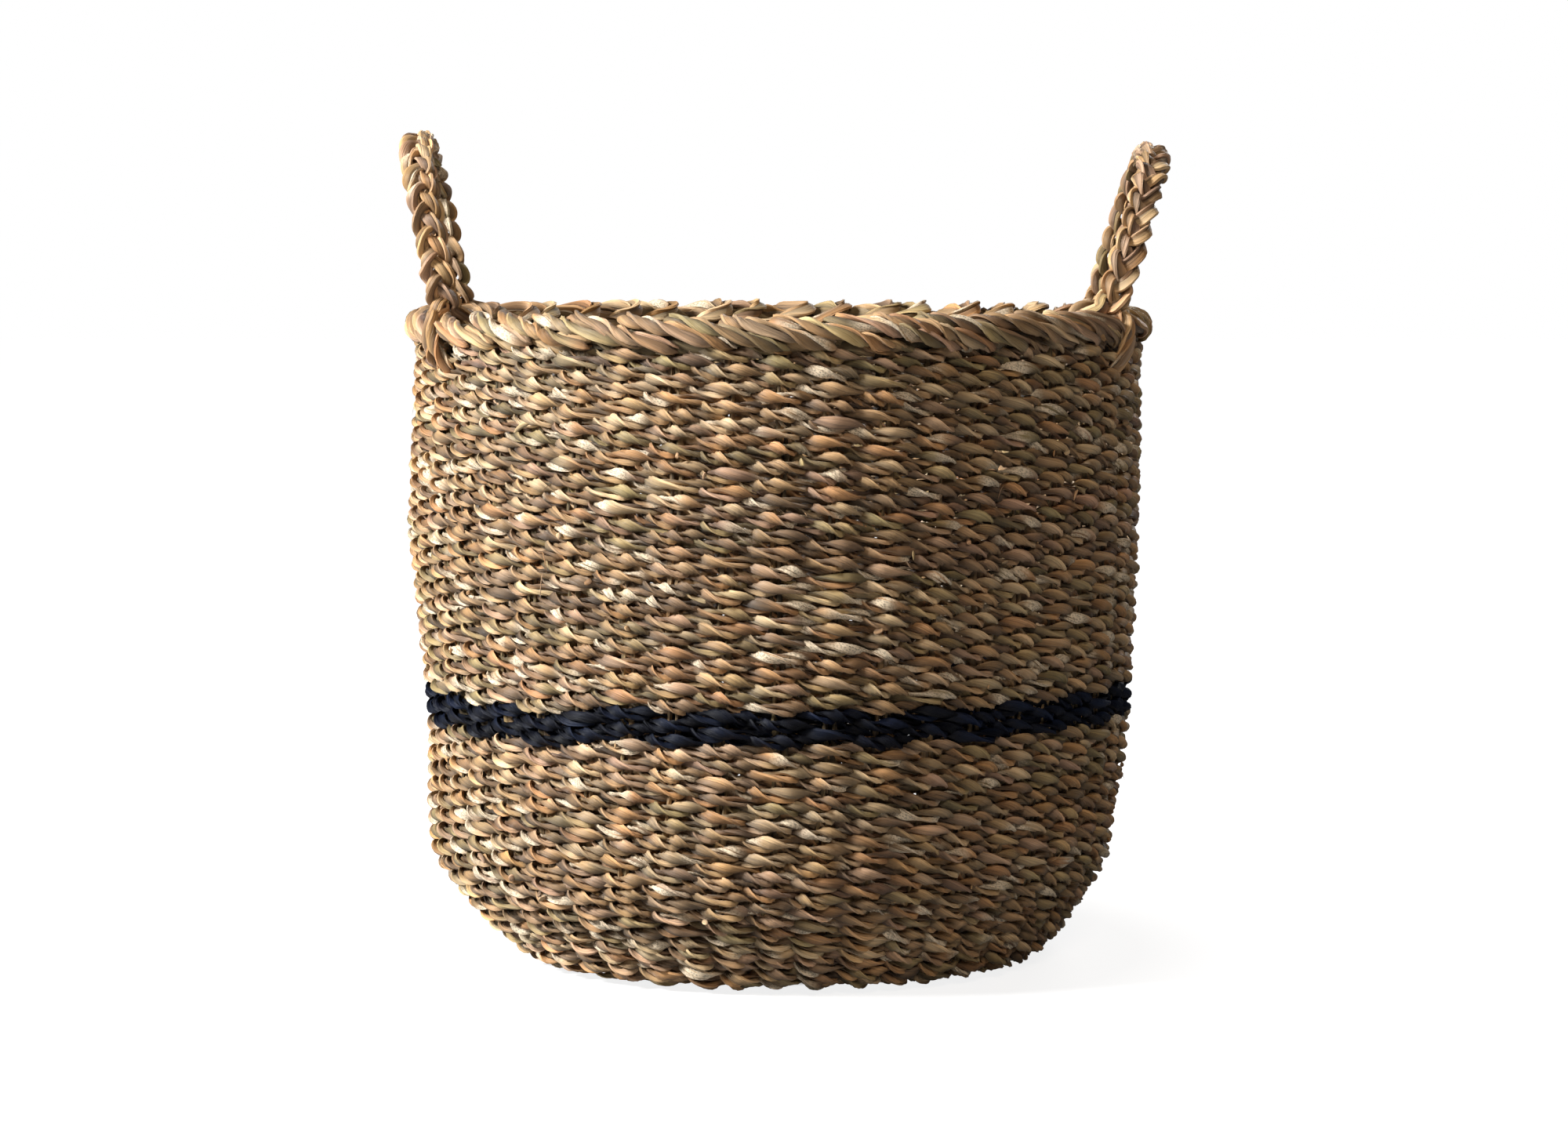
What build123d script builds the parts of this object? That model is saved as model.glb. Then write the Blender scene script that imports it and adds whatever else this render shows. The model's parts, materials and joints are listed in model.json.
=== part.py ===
from build123d import *
import math
import os

# Seagrass storage basket: a plain woven tub of cord over upright stakes, with a navy band,
# a folded border and two plaited handles.  Millimetres, +Z up, origin on the floor at the
# centre of the base.  The handles stand at the -X (left) and +X (right) sides.

# Outline of the tub, measured on the outside of the weave
BELLY_RADIUS = 199.8        # where the wall is upright
UPRIGHT_Z = 300.0           # height at which the wall becomes upright
WALL_LEAN = 4.8             # degrees the wall leans out where it leaves the corner
CORNER_RADIUS = 72.0        # rounding between base and wall
WALL_TOP_Z = 339.0          # top of the weave, inside the border

# Build-up of the wall, from the outside in
FLOAT_DEPTH = 5.4           # cord in front of the stakes, and again behind them
STAKE_GAP = 3.8             # room for the stakes between the two layers of floats
WALL_THICKNESS = 2 * FLOAT_DEPTH + STAKE_GAP
SECTION_GAP = 0.3           # clearance where one length of weaving cord follows another

# Navy band
BAND_CENTRE_Z = 138.7
BAND_HEIGHT = 17.6          # four courses of cord

# Stakes: pairs of cord that run from the middle of the base up into the border
STAKE_COUNT = 45
MAIN_STAKE_EVERY = 3        # every third stake starts at the centre of the base
STAKE_CORD_RADIUS = 1.6
STAKE_PAIR_OFFSET = 1.75    # each cord's distance from the middle of its pair
FIRST_STAKE_ANGLE = -90.0   # one stake faces the front, -Y
MAIN_STAKE_START = 18.0     # distance from the axis
ADDED_STAKE_START = 60.0
STAKE_TOP_Z = 343.0
CENTRE_WRAP_RADIUS = 16.8
CENTRE_WRAP_ROUNDING = 3.0

# Border
BORDER_RADIUS = BELLY_RADIUS - WALL_THICKNESS / 2
BORDER_CENTRE_Z = 344.5
BORDER_HALF_WIDTH = 11.5
BORDER_HALF_HEIGHT = 8.5
BORDER_SKIN = 2.8           # thickness of the folded strands round the core
BORDER_SLOT_CLEARANCE = 0.4
CORE_RADIUS = 3.0
CORE_CLEARANCE = 0.5
BORDER_TOP_Z = BORDER_CENTRE_Z + BORDER_HALF_HEIGHT

# Handles: a three-strand plait bent into an arch, hinged where it meets the border
FOOT_HALF_ANGLE = 24.0      # degrees round the border from the handle's middle to each foot
FOOT_RING_RADIUS = 197.5    # distance of the feet from the basket's axis
FOOT_RADIUS = 5.0
FOOT_HALF_LENGTH = 12.5
FOOT_ROUNDING = 1.5
FOOT_CLEARANCE = 1.5        # between a foot and the top of the border
HINGE_Z = BORDER_TOP_Z + FOOT_CLEARANCE + FOOT_RADIUS
ARCH_EXPONENT = 2.6         # 2 is an ellipse; higher is squarer
PLAIT_START = 7.4           # first height of the strands above the hinge line
PLAIT_HALF_WIDTH = 6.5      # sideways swing of each strand's middle
PLAIT_HALF_DEPTH = 3.2
PLAIT_STRANDS = ("a", "b", "c")
PLAIT_TURNS = 5.5           # full swings of a strand along the arch
STRAND_RADIUS = 2.4
POINTS_PER_TURN = 12

# Tails: the strands' ends, looped over each foot, down both sides of the border and
# through the weave
TAIL_RADIUS = 2.0
TAIL_OFFSET = 9.5           # each loop's distance from the middle of the foot
TAIL_HALF_WIDTH = 18.5
TAIL_BOTTOM_Z = 328.0
TAIL_CORNER = 6.0
TAIL_CLEARANCE = 0.8
TAIL_TOP_Z = HINGE_Z + FOOT_RADIUS + TAIL_CLEARANCE + TAIL_RADIUS
TAIL_HOLE_RADIUS = TAIL_RADIUS + 0.6

# name, direction of the handle's middle in degrees, height above the hinge, outward lean.
# Each foot straddles a stake, which puts the middle two degrees off the X axis.
HANDLES = (
    ("left", 182.0, 87.5, 11.0),
    ("right", -2.0, 82.5, 17.0),
)
FEET = (("front", -1), ("back", 1))

# The outline follows a straight base, a corner arc, a shallow wall arc and an upright line
LEAN = math.radians(WALL_LEAN)
WALL_ARC_RADIUS = (UPRIGHT_Z - CORNER_RADIUS * (1 - math.sin(LEAN))) / math.sin(LEAN)
WALL_ARC_X = BELLY_RADIUS - WALL_ARC_RADIUS
CORNER_X = WALL_ARC_X + (WALL_ARC_RADIUS - CORNER_RADIUS) * math.cos(LEAN)
BASE_END = CORNER_X
CORNER_END = BASE_END + CORNER_RADIUS * (math.pi / 2 - LEAN)
WALL_ARC_END = CORNER_END + WALL_ARC_RADIUS * LEAN


def outline_point(distance, depth):
    """Point at a distance along the outer surface from the axis, and at a depth inside it."""
    if distance <= BASE_END:
        return Vector(distance, 0, depth)
    if distance <= CORNER_END:
        angle = (distance - BASE_END) / CORNER_RADIUS - math.pi / 2
        radius = CORNER_RADIUS - depth
        return Vector(
            CORNER_X + radius * math.cos(angle), 0, CORNER_RADIUS + radius * math.sin(angle)
        )
    if distance <= WALL_ARC_END:
        angle = (distance - CORNER_END) / WALL_ARC_RADIUS - LEAN
        radius = WALL_ARC_RADIUS - depth
        return Vector(
            WALL_ARC_X + radius * math.cos(angle), 0, UPRIGHT_Z + radius * math.sin(angle)
        )
    return Vector(BELLY_RADIUS - depth, 0, UPRIGHT_Z + distance - WALL_ARC_END)


def distance_at_height(height):
    """Distance along the outer surface of a height on the wall."""
    if height >= UPRIGHT_Z:
        return WALL_ARC_END + height - UPRIGHT_Z
    angle = math.asin((height - UPRIGHT_Z) / WALL_ARC_RADIUS)
    return CORNER_END + WALL_ARC_RADIUS * (angle + LEAN)


def outline_edges(start, end, depth):
    """The outline between two distances, as lines and arcs at one depth."""
    zone_ends = [stop for stop in (BASE_END, CORNER_END, WALL_ARC_END) if start < stop < end]
    stops = [start] + zone_ends + [end]
    edges = []
    for low, high in zip(stops, stops[1:]):
        first = outline_point(low, depth)
        last = outline_point(high, depth)
        straight = high <= BASE_END or low >= WALL_ARC_END
        if straight:
            edges.append(Line(first, last))
        else:
            edges.append(ThreePointArc(first, outline_point((low + high) / 2, depth), last))
    return edges


def float_layer(start, end, outer_depth, inner_depth):
    """A closed ring of weave between two distances and two depths."""
    outer = outline_edges(start, end, outer_depth)
    inner = outline_edges(start, end, inner_depth)
    sides = [
        Line(outer[0] @ 0, inner[0] @ 0),
        Line(outer[-1] @ 1, inner[-1] @ 1),
    ]
    return revolve(make_face(outer + inner + sides), Axis.Z, 360)


def weave_section(start, end):
    """The floats outside the stakes and the floats inside them, as two separate layers."""
    low = start + SECTION_GAP / 2
    high = end - SECTION_GAP / 2
    return [
        float_layer(low, high, 0, FLOAT_DEPTH),
        float_layer(low, high, WALL_THICKNESS - FLOAT_DEPTH, WALL_THICKNESS),
    ]


def stake_pair(start):
    """Two cords side by side in the gap between the layers, from the base to the border."""
    depth = WALL_THICKNESS / 2
    end = distance_at_height(STAKE_TOP_Z)
    path = Wire(outline_edges(start, end, depth))
    section = Plane(origin=path @ 0, z_dir=(1, 0, 0)) * Circle(STAKE_CORD_RADIUS)
    cord = sweep(section, path=path)
    return [Pos(0, side * STAKE_PAIR_OFFSET, 0) * cord for side in (-1, 1)]


def stakes(start, indexes):
    pair = stake_pair(start)
    spacing = 360 / STAKE_COUNT
    return [
        Rot(0, 0, FIRST_STAKE_ANGLE + index * spacing) * cord for index in indexes for cord in pair
    ]


def centre_wrap():
    """The tight start of the weave, where the main stakes meet."""
    disc = Pos(0, 0, WALL_THICKNESS / 2) * Cylinder(CENTRE_WRAP_RADIUS, WALL_THICKNESS)
    return fillet(disc.edges().filter_by(GeomType.CIRCLE), CENTRE_WRAP_ROUNDING)


def border():
    """Strands folded over the core: an oval ring, hollow and open below for the wall."""
    oval = Ellipse(BORDER_HALF_WIDTH, BORDER_HALF_HEIGHT)
    hollow = Ellipse(BORDER_HALF_WIDTH - BORDER_SKIN, BORDER_HALF_HEIGHT - BORDER_SKIN)
    slot_width = WALL_THICKNESS + 2 * BORDER_SLOT_CLEARANCE
    slot = Pos(0, -BORDER_HALF_HEIGHT) * Rectangle(slot_width, 2 * BORDER_HALF_HEIGHT)
    section = Plane.XZ * Pos(BORDER_RADIUS, BORDER_CENTRE_Z) * (oval - hollow - slot)
    return revolve(section, Axis.Z, 360)


def border_core():
    """Trimmed stake ends and filler cord, bundled inside the border."""
    hollow_top = BORDER_TOP_Z - BORDER_SKIN
    height = hollow_top - CORE_CLEARANCE - CORE_RADIUS
    return Pos(0, 0, height) * Torus(BORDER_RADIUS, CORE_RADIUS)


def foot_position(side):
    """Middle of a foot, in a frame whose +X points at the handle's middle."""
    angle = math.radians(FOOT_HALF_ANGLE)
    return Vector(
        FOOT_RING_RADIUS * math.cos(angle), side * FOOT_RING_RADIUS * math.sin(angle), HINGE_Z
    )


def tail_loops(azimuth, side):
    """Two closed loops, one at each end of a foot."""
    middle = foot_position(side).Y
    height = TAIL_TOP_Z - TAIL_BOTTOM_Z
    loops = []
    for offset in (-TAIL_OFFSET, TAIL_OFFSET):
        y = middle + offset
        x = math.sqrt(BORDER_RADIUS**2 - y**2)
        middle_z = (TAIL_TOP_Z + TAIL_BOTTOM_Z) / 2
        plane = Plane(origin=(x, y, middle_z), z_dir=(0, 1, 0), x_dir=(1, 0, 0))
        path = (plane * RectangleRounded(2 * TAIL_HALF_WIDTH, height, TAIL_CORNER)).wire()
        section = Plane(origin=path @ 0, z_dir=path % 0) * Circle(TAIL_RADIUS)
        loops.append(Rot(0, 0, azimuth) * sweep(section, path=path))
    return loops


def tail_holes(azimuth, side):
    """Holes that the lower runs of a foot's tails pass through."""
    middle = foot_position(side).Y
    holes = []
    for offset in (-TAIL_OFFSET, TAIL_OFFSET):
        length = 2 * TAIL_HALF_WIDTH
        hole = Rot(0, 90, 0) * Cylinder(TAIL_HOLE_RADIUS, length)
        y = middle + offset
        x = math.sqrt(BORDER_RADIUS**2 - y**2)
        holes.append(Rot(0, 0, azimuth) * Pos(x, y, TAIL_BOTTOM_Z) * hole)
    return holes


def foot(azimuth, side):
    """Gathered end of the plait, round about the hinge line."""
    barrel = Rot(90, 0, 0) * Cylinder(FOOT_RADIUS, 2 * FOOT_HALF_LENGTH)
    barrel = fillet(barrel.edges().filter_by(GeomType.CIRCLE), FOOT_ROUNDING)
    return Rot(0, 0, azimuth) * Pos(foot_position(side)) * barrel


def arch_point(turn, half_span, rise):
    """Point (y, z) on the arch; turn runs from 0 at the front foot to pi at the back one."""
    power = 2 / ARCH_EXPONENT
    across = math.cos(turn)
    y = -math.copysign(abs(across) ** power, across) * half_span
    return (y, abs(math.sin(turn)) ** power * rise)


def arch_stations(count, half_span, rise):
    """Evenly spaced stations along the arch: position and unit tangent, both as (y, z)."""
    samples = 2000
    lowest = math.asin((PLAIT_START / rise) ** (ARCH_EXPONENT / 2))
    turns = [lowest + (math.pi - 2 * lowest) * i / samples for i in range(samples + 1)]
    points = [arch_point(turn, half_span, rise) for turn in turns]
    lengths = [0.0]
    for before, after in zip(points, points[1:]):
        lengths.append(lengths[-1] + math.dist(before, after))
    stations = []
    index = 0
    for step in range(count + 1):
        wanted = lengths[-1] * step / count
        while index < samples - 1 and lengths[index + 1] < wanted:
            index += 1
        before = points[index]
        after = points[index + 1]
        span = lengths[index + 1] - lengths[index]
        share = (wanted - lengths[index]) / span
        position = [b + share * (a - b) for b, a in zip(before, after)]
        tangent = [(a - b) / span for b, a in zip(before, after)]
        stations.append((position, tangent))
    return stations


def plait_strand(order, azimuth, rise, lean):
    """One strand of the plait: it swings from side to side and dips under the others."""
    half_span = foot_position(1).Y
    root_x = foot_position(1).X
    count = round(PLAIT_TURNS * POINTS_PER_TURN)
    points = []
    for step, (position, tangent) in enumerate(arch_stations(count, half_span, rise)):
        phase = 2 * math.pi * (PLAIT_TURNS * step / count + order / len(PLAIT_STRANDS))
        swing = PLAIT_HALF_WIDTH * math.sin(phase)
        dip = PLAIT_HALF_DEPTH * math.sin(2 * phase)
        # the arch's normal in its own plane is the tangent turned a quarter turn
        points.append((swing, position[0] - dip * tangent[1], position[1] + dip * tangent[0]))
    curve = Spline(*points)
    pieces = round(2 * PLAIT_TURNS)
    path = Wire([curve.trim(piece / pieces, (piece + 1) / pieces) for piece in range(pieces)])
    section = Plane(origin=path @ 0, z_dir=path % 0) * Circle(STRAND_RADIUS)
    strand = sweep(section, path=path)
    return Rot(0, 0, azimuth) * Pos(root_x, 0, HINGE_Z) * Rot(0, lean, 0) * strand


def save(name, solids):
    export_step(Compound(children=list(solids)), os.path.join("parts", name + ".step"))


os.makedirs("parts", exist_ok=True)

band_low = distance_at_height(BAND_CENTRE_Z - BAND_HEIGHT / 2)
band_high = distance_at_height(BAND_CENTRE_Z + BAND_HEIGHT / 2)
weave_top = distance_at_height(WALL_TOP_Z)
save("base_centre_wrap", [centre_wrap()])
save("base_weave", weave_section(CENTRE_WRAP_RADIUS, BASE_END))
save("corner_weave", weave_section(BASE_END, CORNER_END))
save("lower_wall_weave", weave_section(CORNER_END, band_low))
save("navy_band_weave", weave_section(band_low, band_high))

upper_wall = weave_section(band_high, weave_top)
for handle_name, azimuth, rise, lean in HANDLES:
    for foot_name, side in FEET:
        for hole in tail_holes(azimuth, side):
            upper_wall = [layer - hole for layer in upper_wall]
save("upper_wall_weave", upper_wall)

main_indexes = range(0, STAKE_COUNT, MAIN_STAKE_EVERY)
added_indexes = [index for index in range(STAKE_COUNT) if index % MAIN_STAKE_EVERY]
save("main_stakes", stakes(MAIN_STAKE_START, main_indexes))
save("added_stakes", stakes(ADDED_STAKE_START, added_indexes))
save("border_core", [border_core()])
save("border_strands", [border()])

for handle_name, azimuth, rise, lean in HANDLES:
    for foot_name, side in FEET:
        save(f"{handle_name}_{foot_name}_tails", tail_loops(azimuth, side))
        save(f"{handle_name}_{foot_name}_foot", [foot(azimuth, side)])
    for order, letter in enumerate(PLAIT_STRANDS):
        save(f"{handle_name}_plait_strand_{letter}", [plait_strand(order, azimuth, rise, lean)])
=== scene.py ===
import json
import math

import bpy
import numpy as np
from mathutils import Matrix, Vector


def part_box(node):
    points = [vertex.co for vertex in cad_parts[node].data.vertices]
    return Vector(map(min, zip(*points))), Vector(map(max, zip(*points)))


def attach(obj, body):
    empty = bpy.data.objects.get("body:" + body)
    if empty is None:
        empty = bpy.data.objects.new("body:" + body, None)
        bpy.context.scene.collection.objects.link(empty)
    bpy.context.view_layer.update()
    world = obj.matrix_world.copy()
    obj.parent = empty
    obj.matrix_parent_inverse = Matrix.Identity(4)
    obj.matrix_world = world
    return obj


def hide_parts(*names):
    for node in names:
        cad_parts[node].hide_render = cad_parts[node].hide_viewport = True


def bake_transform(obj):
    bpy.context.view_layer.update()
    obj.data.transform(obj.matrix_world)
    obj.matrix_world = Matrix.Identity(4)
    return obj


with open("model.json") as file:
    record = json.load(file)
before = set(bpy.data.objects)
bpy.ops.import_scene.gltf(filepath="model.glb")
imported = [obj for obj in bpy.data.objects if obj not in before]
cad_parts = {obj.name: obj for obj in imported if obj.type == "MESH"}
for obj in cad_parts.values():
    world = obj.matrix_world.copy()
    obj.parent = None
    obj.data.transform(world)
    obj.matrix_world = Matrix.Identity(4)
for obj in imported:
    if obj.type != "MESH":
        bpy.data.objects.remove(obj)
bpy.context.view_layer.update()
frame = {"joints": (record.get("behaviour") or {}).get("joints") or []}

# Seagrass storage basket.  Every cord is real rope geometry: one to three plies that wind
# about a path.  Lengths are metres.  Places and main sizes come from the frame.

MM = 0.001
RNG_SEED = 20

# ---- The tub's outline, read back from the frame -------------------------------------------
SECTION_GAP = 0.3 * MM          # clearance between two lengths of weave in the frame
WALL_LEAN = math.radians(4.8)   # lean of the wall above the corner
BELLY_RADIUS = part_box("upper_wall_weave")[1][0]
WALL_TOP_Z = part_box("upper_wall_weave")[1][2]
BASE_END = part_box("base_weave")[1][0] + SECTION_GAP / 2
WALL_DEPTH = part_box("base_centre_wrap")[1][2]
CORNER_TOP_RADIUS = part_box("corner_weave")[1][0]
CORNER_RADIUS = (CORNER_TOP_RADIUS - BASE_END) / math.cos(WALL_LEAN)
WALL_ARC_RADIUS = (BELLY_RADIUS - CORNER_TOP_RADIUS) / (1 - math.cos(WALL_LEAN))
CORNER_END = BASE_END + CORNER_RADIUS * (math.pi / 2 - WALL_LEAN)
WALL_ARC_END = CORNER_END + WALL_ARC_RADIUS * WALL_LEAN
UPRIGHT_Z = CORNER_RADIUS * (1 - math.sin(WALL_LEAN)) + WALL_ARC_RADIUS * math.sin(WALL_LEAN)
SAG_ANGLE = math.radians(34)    # the corner's first part, which sags towards the floor
SAG_HEIGHT = CORNER_RADIUS * (1 - math.cos(SAG_ANGLE))
MIDDLE_RADIUS = BELLY_RADIUS - WALL_DEPTH / 2
BAND_RISE = 3.5 * MM            # the band starts this much higher than its node does
BAND_LOW_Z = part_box("navy_band_weave")[0][2] + BAND_RISE
BORDER_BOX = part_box("border_strands")
BORDER_TOP_Z = BORDER_BOX[1][2]

# ---- The tub's own unevenness --------------------------------------------------------------
SHAPING_START = 0.6             # share of the base's radius where the shaping begins
FLATTENING = 5 * MM             # the corner is drawn in low down
FLATTENING_HEIGHT = 33 * MM
FLATTENING_SPREAD = 15 * MM
BASE_GROWTH = 0.04              # the base is larger than round at the front and back
BASE_SQUARENESS = 0.02
BASE_SPREAD = 18 * MM
LOW_SHIFT = -4.5 * MM           # the lower wall stands to the left
LOW_SHIFT_HEIGHT = 65 * MM
LOW_SHIFT_SPREAD = 36 * MM
BASE_SHIFT = 3 * MM             # the base stands to the right
BASE_SHIFT_SPREAD = 20 * MM
LEFT_BULGE = 5 * MM
LEFT_BULGE_HEIGHT = 240 * MM
LEFT_BULGE_SPREAD = 55 * MM
STAKE_SWAYS = (                 # in stake spacings, waves round the tub, length up the wall
    (0.055, 3, 70 * MM),
    (0.05, 11, -42 * MM),
    (0.035, 19, 24 * MM),
)

# ---- The weave -----------------------------------------------------------------------------
STAKES = 45                     # an odd number, so each turn passes the other side of a stake
INNER_STAKES = 15               # stakes that reach the middle of the base
FRONT = -math.pi / 2            # a stake faces the front, -Y
COURSE_PITCH = 4.4 * MM         # rise of the weaving cord in one turn
BAND_TURNS = 4
BAND_START = math.radians(236)  # the navy cord starts at the left front and climbs clockwise
CORD_TWIST = 31 * MM            # length of cord in which its plies make one turn
PLY_OFFSET = 1.85 * MM          # from the cord's middle to a ply's middle
PLY_HALF_WIDTH = 3.0 * MM
PLY_HALF_DEPTH = 1.55 * MM
PLY_TILT = math.radians(28)     # lifts a leaf's leading edge over the next leaf
WEAVE_SWING = 3.2 * MM          # how far a cord goes either side of the stakes
LEAST_SWING = 1.8 * MM
SWING_SHARE = 0.16              # of the stake spacing, where the stakes are close together
SWING_WANDER = 0.07
SWING_WANDER_LENGTH = 110 * MM
FLOAT_FLATNESS = 0.15           # a float runs straighter than a sine wave
COURSE_WANDER = 0.7 * MM        # how far a course strays up or down
COURSE_WANDER_LENGTH = 130 * MM
WEAVE_PITH = 0.11               # share of a ply's length that shows pith
STEPS_PER_STAKE = 12
BASE_STEPS_PER_STAKE = 8
SIDES = 6                       # corners of a ply's section
SHARP_CORNERS = (0, 1, 4)       # the fold in a leaf's face, and the leaf's two edges
FIRST_TURN_RADIUS = 20 * MM
COIL_TURNS = 3.6                # turns of each flat coil at the middle of the base
COIL_START_RADIUS = 2.5 * MM
COIL_PITCH = 5.4 * MM
COIL_STEPS = 180
COIL_DEPTH = 5.2 * MM           # from either face of the base
COIL_END_RADIUS = FIRST_TURN_RADIUS - 3.5 * MM
ADDED_STAKE_RADIUS = 60 * MM    # the added stakes start here
TURNS_PER_PIECE = 9             # keeps every woven piece a sensible size
BASE_LIFT = 1.2 * MM            # keeps the base's thick cords off the floor
WEAVE_RISE = 0.9 * MM           # how far the wall cords' middle stands outside the stakes
SHADE_AT_CROSSING = 0.42        # painted shade: brightness where a cord dives between the stakes
EDGE_SHADE = 0.72               # painted shade: a leaf is darker where the next leaf covers it
PINCH_AT_CROSSING = 0.88        # cords squeeze each other where they pass between stakes

# ---- Stakes --------------------------------------------------------------------------------
STAKE_CORD_RADIUS = 1.8 * MM
STAKE_PAIR_OFFSET = 2.1 * MM
STAKE_STEP = 5 * MM
STAKE_TOP_Z = BORDER_TOP_Z - 8 * MM
MAIN_STAKE_START = 18 * MM
MAIN_STAKE_EVERY = 3
STAKE_LEAN = 0.5 * MM
STAKE_LEAN_LENGTH = 250 * MM
STAKE_TWIST = 60                # radians a metre

# ---- Plies of every cord -------------------------------------------------------------------
WANDER_OCTAVES = ((1.0, 0.7), (2.3, 0.45), (4.7, 0.25))
WANDER_STRETCH = (0.85, 1.15)
SWELL = 0.15                    # a ply's size varies by about this share
SWELL_LENGTH = 60 * MM
SQUASH = 0.14
SQUASH_LENGTH = 40 * MM
TWIST_WANDER = 1.3              # radians
TWIST_WANDER_LENGTH = 170 * MM
TAPER_RINGS = 2.0               # rings over which a ply's end narrows
TAPER_START = 0.6
TAPER_LEAST = 0.3
FIBRE_UNIT = 30 * MM            # one unit along a ply in the fibre attribute
FIBRE_SEED_RANGE = 50
LEAF_LENGTHS = (60 * MM, 260 * MM)
LEAF_BLEND = 12 * MM
LEAF_SHADE_SPREAD = 0.18
LEAF_SHADE_LIMITS = (0.55, 1.45)
LEAF_HUE_SPREAD = 0.02
PITH_SHARE = 0.07
PITH_PATCH = 18 * MM
PITH_PATCH_SPREAD = (0.35, 0.9)
PITH_EDGE = 1.6                 # above 1 a patch has a full middle

# ---- Loose ends: total, lengths and thicknesses ---------------------------------------------
CUT_STUBS = ("cut_stubs", 60, (3 * MM, 6 * MM), (0.8 * MM, 1.4 * MM))
STRAY_FIBRES = ("stray_fibres", 90, (5 * MM, 12 * MM), (0.12 * MM, 0.24 * MM))
LOOSE_ROOT_DEPTH = 1.6 * MM
LOOSE_REACH_BELOW_WALL = 30 * MM
LOOSE_RINGS = 7
LOOSE_RISE = 0.45               # this and the next three are shares of a loose end's length
LOOSE_CURL = 0.2
LOOSE_SIDEWAYS = 0.8
LOOSE_CLIMB = (-0.2, 0.5)
LOOSE_WIDTH = 1.3               # this and the next are shares of its thickness
LOOSE_DEPTH = 0.7

# ---- Border --------------------------------------------------------------------------------
BORDER_STEPS = 48
BORDER_PLIES = 3
BORDER_REACH_OUTSIDE = 2.5      # stake spacings that a strand runs along the outside
BORDER_REACH_INSIDE = 2.0
BORDER_CROSSING = 0.4           # stake spacings that a strand shifts as it crosses the top
BORDER_WRAP = math.radians(125)  # from the border's top to where a strand ends
BORDER_SPILL = 3.5 * MM         # how far the strands stand wider than the frame's border
BORDER_TUCK = 0.42              # share by which a strand's ends draw in to the wall
BORDER_TURN = 0.3               # roundness of the turn over the top
BORDER_CROSSING_LENGTH = 0.35
BORDER_PEAK = 0.02              # strands ride up over their neighbours at the top
BORDER_DROOP = 0.25
BORDER_UNEVENNESS = 0.08
BORDER_SMALL_UNEVENNESS = 0.05
BORDER_START_TWIST = (0.6, 1.4)
BORDER_PITH = 0.10
BORDER_PLY_OFFSET = 2.1 * MM
BORDER_PLY_HALF_WIDTH = 2.8 * MM
BORDER_PLY_HALF_DEPTH = 1.6 * MM
BORDER_TWIST = 62 * MM
BORDER_RAISE = 1.5 * MM         # the border stands this much taller each way than the frame's
CORE_PLY_OFFSET = 2.6 * MM
CORE_PLY_HALF_WIDTH = 4.2 * MM
CORE_PLY_HALF_DEPTH = 2.6 * MM
CORE_STEPS = 540
CORE_PLIES = 2
CORE_HEIGHTS = (WALL_TOP_Z + 2 * MM, BORDER_TOP_Z - 8 * MM)

# ---- Handles -------------------------------------------------------------------------------
ARCH_EXPONENT = 2.6             # 2 is a half ellipse; more gives squarer shoulders
ARCH_SAMPLES = 4000
STRANDS = "abc"
PLAIT_TURNS = 7.5
PLAIT_SWING = 5.8 * MM          # how far a strand goes across the plait
PLAIT_DIP = 2.5 * MM            # and through it
PLAIT_PLIES = 3
PLAIT_FOOT = -4 * MM            # height of the plait's lower end above the hinge line
PLAIT_STEPS_PER_TURN = 24
PLAIT_POINTS = 420
PLAIT_PITH = 0.06
PLAIT_TWIST_START = (0, 6)
SMOOTHING_STEPS = 24
PLAIT_PLY_OFFSET = 1.9 * MM
PLAIT_PLY_HALF_WIDTH = 2.5 * MM
PLAIT_PLY_HALF_DEPTH = 1.5 * MM
PLAIT_TWIST = 58 * MM
FOOT_ANGLE = math.radians(24)
TAIL_SPREAD = math.radians(1.1 / 3)  # between neighbouring tails, added at each station
TAIL_CLEARANCE_OUTSIDE = 1 * MM
TAIL_INWARD_SWING = -0.1 * MM   # a strand that ends further in than this tucks down inside
TAIL_STATIONS = (               # inset from the border's face, drop below its top
    (1.5 * MM, 1.0 * MM),
    (0, 8.5 * MM),
    (0.5 * MM, 17 * MM),
    (4.5 * MM, 24 * MM),
)
TAIL_END = (3 * MM, 29 * MM)    # from the middle of the wall, drop below the border's top

# ---- Leaf fibre ----------------------------------------------------------------------------
FINE_NOISE = ((8.0, 8.0, 1.3), 5.0)  # scales round a ply (twice) and along it, then detail
BLOTCH_NOISE = ((1.3, 1.3, 1.0), 3.0)
FOLD_NOISE = ((1.5, 1.5, 0.45), 1.0)
NOISE_ROUGHNESS = 0.6
FINE_RANGE = (0.3, 0.7)         # noise values between which a streak goes from dark to light
FOLD_RANGE = (0.485, 0.515)
FACE_SHADES = (0.86, 1.08)      # painted light and shade on a folded leaf's two faces
HUE_RANGE = (0.35, 0.65)
COOL_HUE = (0.98, 0.985, 1.0)
WARM_HUE = (1.04, 0.99, 0.91)
PITH_COLOUR = (216, 198, 170)
PITH_CELLS = 2.8
PITH_CELL_STRETCH = (1, 1, 9)
PITH_CELL_RANGE = (0.05, 0.6)
PITH_CELL_SHADES = (0.35, 1.15)
PITH_RAGGED_RANGE = (0.36, 0.46)
BUMP_STRENGTH = 0.7
BUMP_DISTANCE = 0.5 * MM

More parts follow.
